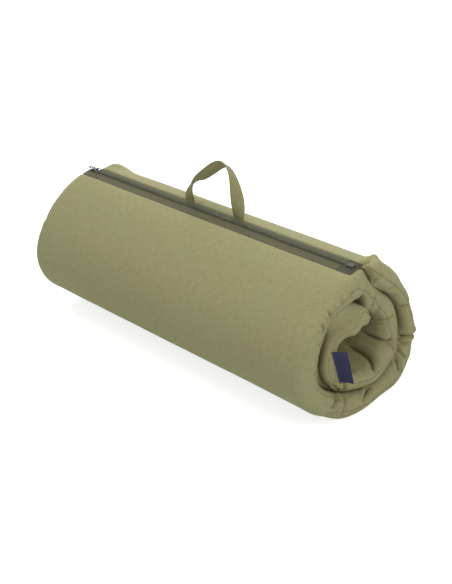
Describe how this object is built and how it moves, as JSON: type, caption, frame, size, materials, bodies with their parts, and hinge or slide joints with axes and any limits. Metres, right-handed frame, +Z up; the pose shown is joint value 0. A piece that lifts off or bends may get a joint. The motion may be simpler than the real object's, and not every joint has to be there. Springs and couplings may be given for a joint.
{
  "type": "travel mattress",
  "caption": "Foam travel mattress rolled up in its canvas cover, held rolled by a full-length zipper, with a carry handle.",
  "frame": {"origin": "middle of the footprint, on the surface that the roll rests on", "axes": "+X along the roll's axis towards the end with the label, +Y towards the back, away from the zipper, +Z up"},
  "size_m": [0.596, 0.2556, 0.3088],
  "materials": {
    "canvas": "matt olive cotton canvas",
    "foam": "open-cell foam",
    "zipper_tape": "matt dark olive woven tape",
    "zipper_nylon": "satin dark olive nylon",
    "zipper_film": "thin glossy film",
    "bright_metal": "bright die-cast metal",
    "strap_canvas": "matt olive cotton canvas strap",
    "label_weave": "navy woven label, bare"
  },
  "bodies": {
    "roll": {"foam_core": "foam", "cover_wrap_panel": "canvas", "cover_tuck_panel": "canvas", "cover_inner_panel": "canvas", "zipper_tape_front": "zipper_tape", "zipper_tape_back": "zipper_tape", "zipper_coil_front": "zipper_nylon", "zipper_coil_back": "zipper_nylon", "zipper_top_stop_front": "bright_metal", "zipper_top_stop_back": "bright_metal", "zipper_retainer_box": "zipper_nylon", "zipper_insertion_pin": "zipper_nylon", "zipper_end_film_front": "zipper_film", "zipper_end_film_back": "zipper_film", "handle_strap_end_left": "strap_canvas", "handle_strap_end_right": "strap_canvas"},
    "slider": {"slider_body": "bright_metal", "slider_crown": "bright_metal"},
    "pull_tab": {"slider_pull_tab": "bright_metal"},
    "handle": {"handle_strap": "strap_canvas"},
    "label": {"side_label": "label_weave"}
  },
  "joints": [
    {"name": "slider_travel", "type": "slide", "parent": "roll", "child": "slider", "axis": [1, 0, 0], "range_m": [0, 0.508]},
    {"name": "pull_tab_swing", "type": "hinge", "parent": "slider", "child": "pull_tab", "pos_m": [-0.263, -0.01042, 0.22868], "axis": [0, 0.9901, 0.1405], "range_deg": [0, 178]},
    {"name": "handle_swing", "type": "hinge", "parent": "roll", "child": "handle", "pos_m": [0, 0.00542, 0.22685], "axis": [1, 0, 0], "range_deg": [-65, 65]},
    {"name": "label_flap", "type": "hinge", "parent": "roll", "child": "label", "pos_m": [0.2864, -0.05505, 0.09864], "axis": [0.1178, 0.3602, -0.9254], "range_deg": [-20, 55]}
  ]
}
